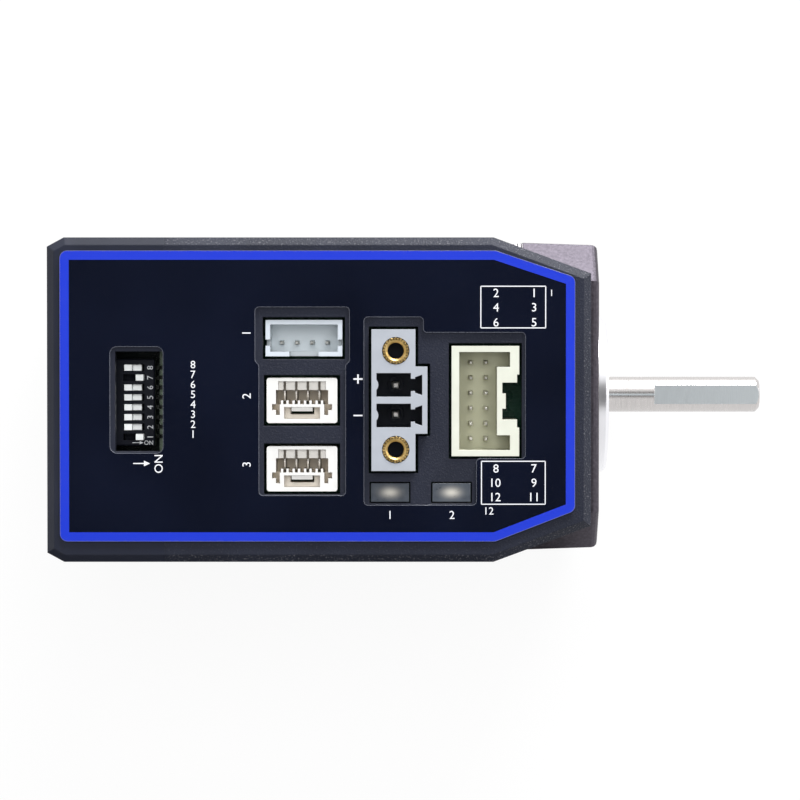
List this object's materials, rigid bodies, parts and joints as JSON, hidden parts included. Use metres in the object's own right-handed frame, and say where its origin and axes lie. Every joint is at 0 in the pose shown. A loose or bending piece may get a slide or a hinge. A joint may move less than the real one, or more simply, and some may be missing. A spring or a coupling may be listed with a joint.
{
  "type": "closed-loop stepper motor",
  "caption": "Square stepper motor with a flatted shaft and pilot boss, its driver in a slope-cornered housing on top with plug headers, lights and a slide-switch bank.",
  "frame": {"origin": "centre of the motor's front mounting face, on the shaft's axis", "axes": "+X out along the shaft, +Y towards the serial header's side, +Z out through the drive's cover"},
  "size_m": [0.0972, 0.0424, 0.0643],
  "materials": {
    "cast_aluminium": "satin",
    "lamination_steel": "matte",
    "bobbin_plastic": "matte",
    "enamelled_wire": "gloss",
    "screw_steel": "satin",
    "bearing_steel": "polished",
    "spring_steel": "satin",
    "shaft_steel": "ground",
    "magnet_nickel": "satin",
    "turned_brass": "satin",
    "circuit_board": "gloss",
    "chip_black": "matte",
    "ribbon_white": "matte",
    "socket_ivory": "matte",
    "housing_slate": "fine texture",
    "plate_aluminium": "matte",
    "pad_grey": "matte",
    "capacitor_can": "satin",
    "lead_insulation": "matte",
    "label_navy": "gloss",
    "header_ivory": "satin",
    "header_clear_white": "satin",
    "connector_white": "satin",
    "header_grey": "satin",
    "pin_tin": "satin",
    "light_smoke": "clear",
    "led_body": "gloss",
    "switch_black": "satin",
    "slider_white": "satin"
  },
  "bodies": {
    "frame": {"front_bell": "cast_aluminium", "stator_stack": "lamination_steel", "front_bobbin": "bobbin_plastic", "rear_bobbin": "bobbin_plastic", "phase_a_coils": "enamelled_wire", "phase_b_coils": "enamelled_wire", "rear_bell": "cast_aluminium", "motor_screws": "screw_steel", "front_bearing_outer_ring": "bearing_steel", "rear_bearing_outer_ring": "bearing_steel", "wave_washer": "spring_steel", "encoder_board": "circuit_board", "encoder_chip": "chip_black", "encoder_spacers": "turned_brass", "encoder_ribbon": "ribbon_white", "ribbon_sockets": "socket_ivory", "rear_cover": "housing_slate", "rear_cover_screws": "screw_steel", "drive_housing": "housing_slate", "housing_screws": "screw_steel", "base_plate": "plate_aluminium", "board_spacers": "turned_brass", "driver_board": "circuit_board", "power_transistors": "chip_black", "thermal_pads": "pad_grey", "control_chips": "chip_black", "capacitors": "capacitor_can", "phase_leads": "lead_insulation", "cover_label": "label_navy", "signal_header": "header_ivory", "signal_header_pins": "pin_tin", "serial_header": "header_clear_white", "serial_header_pins": "pin_tin", "upper_bus_connector": "connector_white", "lower_bus_connector": "connector_white", "bus_contacts": "pin_tin", "power_header": "header_grey", "power_header_pins": "pin_tin", "power_header_inserts": "turned_brass", "light_guides": "light_smoke", "indicator_leds": "led_body", "switch_body": "switch_black", "switch_terminals": "pin_tin"},
    "rotor": {"shaft": "shaft_steel", "front_rotor_cup": "lamination_steel", "rotor_magnet": "magnet_nickel", "rear_rotor_cup": "lamination_steel", "front_bearing_inner_ring": "bearing_steel", "rear_bearing_inner_ring": "bearing_steel", "magnet_holder": "turned_brass", "encoder_magnet": "magnet_nickel"},
    "switch_1": {"switch_slider_1": "slider_white"},
    "switch_2": {"switch_slider_2": "slider_white"},
    "switch_3": {"switch_slider_3": "slider_white"},
    "switch_4": {"switch_slider_4": "slider_white"},
    "switch_5": {"switch_slider_5": "slider_white"},
    "switch_6": {"switch_slider_6": "slider_white"},
    "switch_7": {"switch_slider_7": "slider_white"},
    "switch_8": {"switch_slider_8": "slider_white"}
  },
  "joints": [
    {"name": "shaft_spin", "type": "hinge", "parent": "frame", "child": "rotor", "pos_m": [0, 0, 0], "axis": [1, 0, 0], "continuous": true},
    {"name": "switch_1_slide", "type": "slide", "parent": "frame", "child": "switch_1", "axis": [1, 0, 0], "range_m": [-0.0015, 0]},
    {"name": "switch_2_slide", "type": "slide", "parent": "frame", "child": "switch_2", "axis": [1, 0, 0], "range_m": [0, 0.0015]},
    {"name": "switch_3_slide", "type": "slide", "parent": "frame", "child": "switch_3", "axis": [1, 0, 0], "range_m": [0, 0.0015]},
    {"name": "switch_4_slide", "type": "slide", "parent": "frame", "child": "switch_4", "axis": [1, 0, 0], "range_m": [0, 0.0015]},
    {"name": "switch_5_slide", "type": "slide", "parent": "frame", "child": "switch_5", "axis": [1, 0, 0], "range_m": [0, 0.0015]},
    {"name": "switch_6_slide", "type": "slide", "parent": "frame", "child": "switch_6", "axis": [1, 0, 0], "range_m": [0, 0.0015]},
    {"name": "switch_7_slide", "type": "slide", "parent": "frame", "child": "switch_7", "axis": [1, 0, 0], "range_m": [-0.0015, 0]},
    {"name": "switch_8_slide", "type": "slide", "parent": "frame", "child": "switch_8", "axis": [1, 0, 0], "range_m": [0, 0.0015]}
  ]
}
